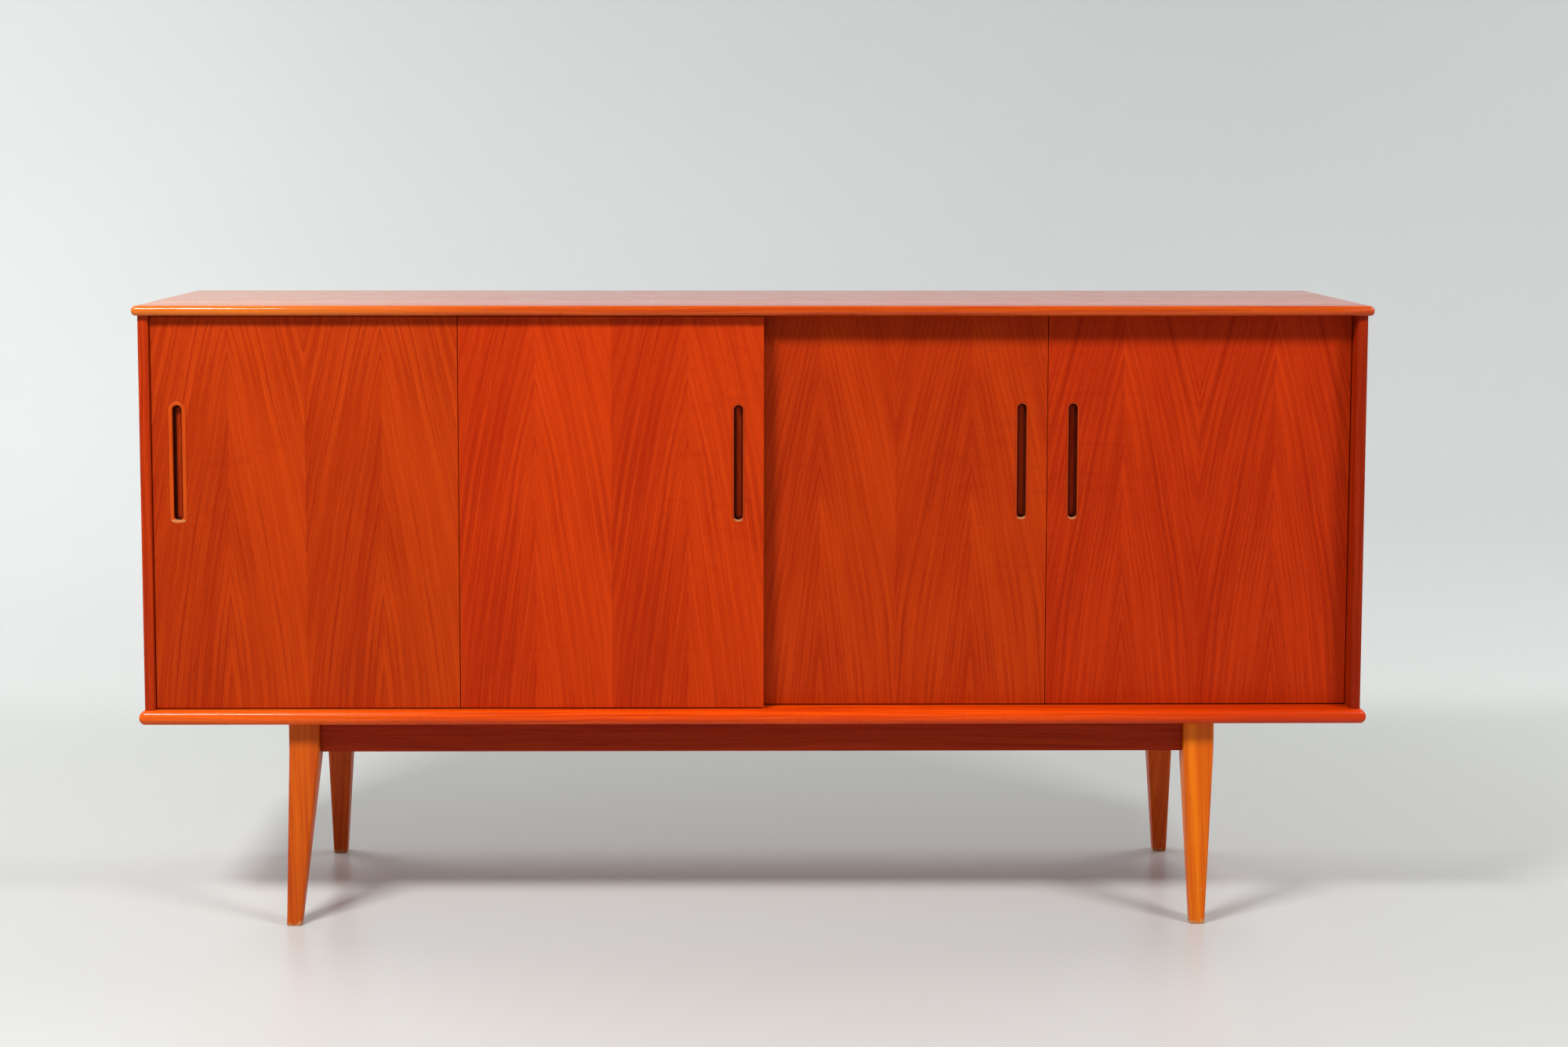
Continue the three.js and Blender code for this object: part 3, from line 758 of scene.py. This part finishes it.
# Area lamps turned to their aims, two on the object's front, two behind it and the rest on the walls,
# and a faint even light from all round
def makeLights():
    for name, s in studioLights.items():
        lamp = bpy.data.lights.new(name, "AREA")
        lamp.shape, lamp.energy, lamp.color = "RECTANGLE", s["power"], s["tint"]
        lamp.size, lamp.size_y = s["size"]
        holder = bpy.data.objects.new(name, lamp)
        bpy.context.scene.collection.objects.link(holder)
        aim = np.array(s["aim"]) - np.array(s["place"])
        holder.rotation_euler = Vector(aim.tolist()).to_track_quat("-Z", "Y").to_euler()
        holder.location = s["place"]
    world = bpy.data.worlds.new("studio_air")
    world.use_nodes = True
    sky = world.node_tree.nodes["Background"]
    sky.inputs["Color"].default_value = (*studioAir["tint"], 1)
    sky.inputs["Strength"].default_value = studioAir["strength"]
    bpy.context.scene.world = world


view = dict(place=(-0.03552, -3.91816, 1.25266), yaw=0.00983, pitch=0.07873, roll=-0.00085,
            lens=52.93, shift=(0.01855, -0.115))


# yaw turns the camera to the right, pitch tips it down, and roll leans its own axes
def makeCamera():
    cosYaw, sinYaw = math.cos(view["yaw"]), math.sin(view["yaw"])
    cosPitch, sinPitch = math.cos(view["pitch"]), math.sin(view["pitch"])
    ahead = Vector((sinYaw * cosPitch, cosYaw * cosPitch, -sinPitch))
    right = Vector((cosYaw, -sinYaw, 0))
    up = right.cross(ahead)
    cosRoll, sinRoll = math.cos(view["roll"]), math.sin(view["roll"])
    across = right * cosRoll - up * sinRoll
    above = right * sinRoll + up * cosRoll
    lens = bpy.data.cameras.new("front_camera")
    lens.sensor_width, lens.lens = 36, view["lens"]
    lens.shift_x, lens.shift_y = view["shift"]
    camera = bpy.data.objects.new("front_camera", lens)
    bpy.context.scene.collection.objects.link(camera)
    turn = Matrix((across, above, -ahead)).transposed().to_4x4()
    camera.matrix_world = Matrix.Translation(view["place"]) @ turn
    bpy.context.scene.camera = camera


makeCamera()
makeLights()
makeStage()
bpy.context.scene.view_settings.view_transform = "Standard"
print("studio ready")

# The top board's left end carries painted light; the bottom board's left end painted light, its right end
# painted shade
topTeak = lengthwiseTeak("top_board_teak", 5, woodTones(177, 61, 6), gloss=0.26, dull=0.06,
                         litLeftEnd=0.42)
baseTeak = lengthwiseTeak("bottom_board_teak", 9, woodTones(209, 62, 3), gloss=0.16, dull=0.12,
                          litLeftEnd=0.2, shadedRightEnd=0.7, lineDepth=0.8)
for name, finish in (("top_board", topTeak), ("bottom_board", baseTeak)):
    fit(board(name), "cabinet", name, finish)
print("boards ready")

# The right side's tones are darker than the left's: painted shade, as less light reaches the right end
sideTones = {"left": woodTones(162, 42, 3), "right": woodTones(138, 31, 2)}
for hand in ("left", "right"):
    sideTeak = uprightTeak("side_" + hand + "_veneer", 21, sideTones[hand], gloss=0.08)
    fit(side(hand), "cabinet", "side_" + hand, sideTeak)
print("sides ready")

fibre = uprightTeak("strip_fibre", 35, woodTones(63, 38, 24))
for number in (1, 2, 3, 4):
    body = f"door_{number}_body"
    fit(door(number), body, f"door_{number}", doorTeak(number))
    pullFace = float(boxOf(f"door_{number}_pull")[0][1])
    slotBottom = float(pullPlace(number)[1] - pulls["slotTall"] / 2)
    pullTones = woodTones(181, 63, 6, spread=0.5) if number == 1 else woodTones(166, 49, 5, spread=0.6)
    pullTeak = uprightTeak(f"door_{number}_pull_teak", 33 + number, pullTones,
                           shadeBehind=pullFace + 1.8 * mm, wornAndLitBelow=slotBottom)
    fit(pullRing(number), body, f"door_{number}_pull", pullTeak)
    for strip in ("runner", "guide"):
        node = f"door_{number}_{strip}"
        low, high = boxOf(node)
        ends = np.array([stripShort, 0, 0])
        bar = roundedBox(node + "_strip", low + ends, high - ends, softEdges["strip"])
        fit(bar, body, node, fibre)
print("doors ready")

for seed, place in enumerate(legs["splay"], 41):
    legWood = beech("leg_beech_" + place, seed, legTones[place])
    fit(leg(place), "cabinet", "leg_" + place, legWood)
apronTeak = lengthwiseTeak("apron_teak", 51, woodTones(150, 37, 4), gloss=0.08, dull=0.36)
for edge in ("front", "rear", "left", "right"):
    node = "apron_" + edge
    rail = roundedBox(node + "_rail", *boxOf(node), softEdges["apron"])
    fit(rail, "cabinet", node, apronTeak)
print("frame ready")

innerTeak = uprightTeak("inner_teak", 61, woodTones(152, 78, 38), dull=0.42)
shelfTeak = lengthwiseTeak("shelf_teak", 67, woodTones(152, 75, 33), gloss=0.2, dull=0.36)
for place in ("left", "centre", "right"):
    node = "divider_" + place
    panel = roundedBox(node + "_panel", *boxOf(node), softEdges["divider"])
    fit(panel, "cabinet", node, innerTeak)
for number in (1, 2, 3, 4):
    node = f"shelf_{number}"
    shelf = roundedBox(node + "_board", *boxOf(node), softEdges["shelf"])
    fit(shelf, "cabinet", node, shelfTeak)
backPly = plywood("back_ply")
backSheet = roundedBox("back_panel_sheet", *boxOf("back_panel"), softEdges["back"])
fit(backSheet, "cabinet", "back_panel", backPly)
brass = metal("worn_brass", colour(206, 164, 84), colour(140, 98, 44), 0.34)
for number in range(1, 17):
    node = f"shelf_pin_{number}"
    fit(softened(node, softEdges["pin"]), "cabinet", node, brass)
zinc = metal("zinc_plate", colour(188, 186, 180), colour(120, 118, 112), 0.42)
heads = backTacks("back_tacks")
heads.data.materials.append(zinc)
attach(heads, "cabinet")
blockBeech = beech("block_beech", 71, legTones["rear_left"], worn=False)
for place in legs["splay"]:
    node = "corner_block_" + place
    fit(softened(node, softEdges["block"]), "cabinet", node, blockBeech)
    node = "frame_screw_" + place
    fit(softened(node, softEdges["screw"]), "cabinet", node, zinc)
print("inside ready")
